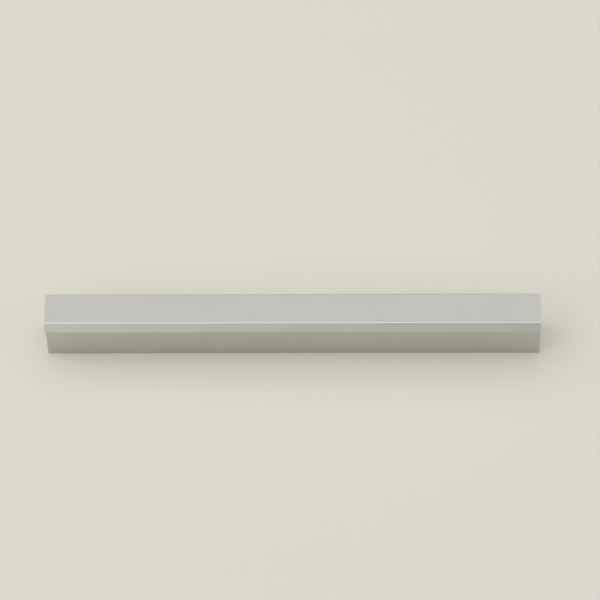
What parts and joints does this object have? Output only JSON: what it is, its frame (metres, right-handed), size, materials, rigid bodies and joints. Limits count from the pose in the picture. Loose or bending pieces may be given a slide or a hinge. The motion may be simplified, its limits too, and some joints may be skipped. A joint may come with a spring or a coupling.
{
  "type": "cabinet handle",
  "caption": "Straight cabinet handle cut from solid extruded aluminium bar, with a flat front face, a sloping finger lip overhanging one side and tapped screw holes in its foot.",
  "frame": {"origin": "midway between the two screw holes, on the foot that lies against the door", "axes": "+X along the bar, +Z away from the door to the front face, -Y to the side where the finger lip overhangs"},
  "size_m": [0.2, 0.0168, 0.025],
  "materials": {
    "anodised_aluminium": "satin anodised, with fine lines along the bar"
  },
  "bodies": {
    "root": {"handle": "anodised_aluminium"}
  },
  "joints": []
}
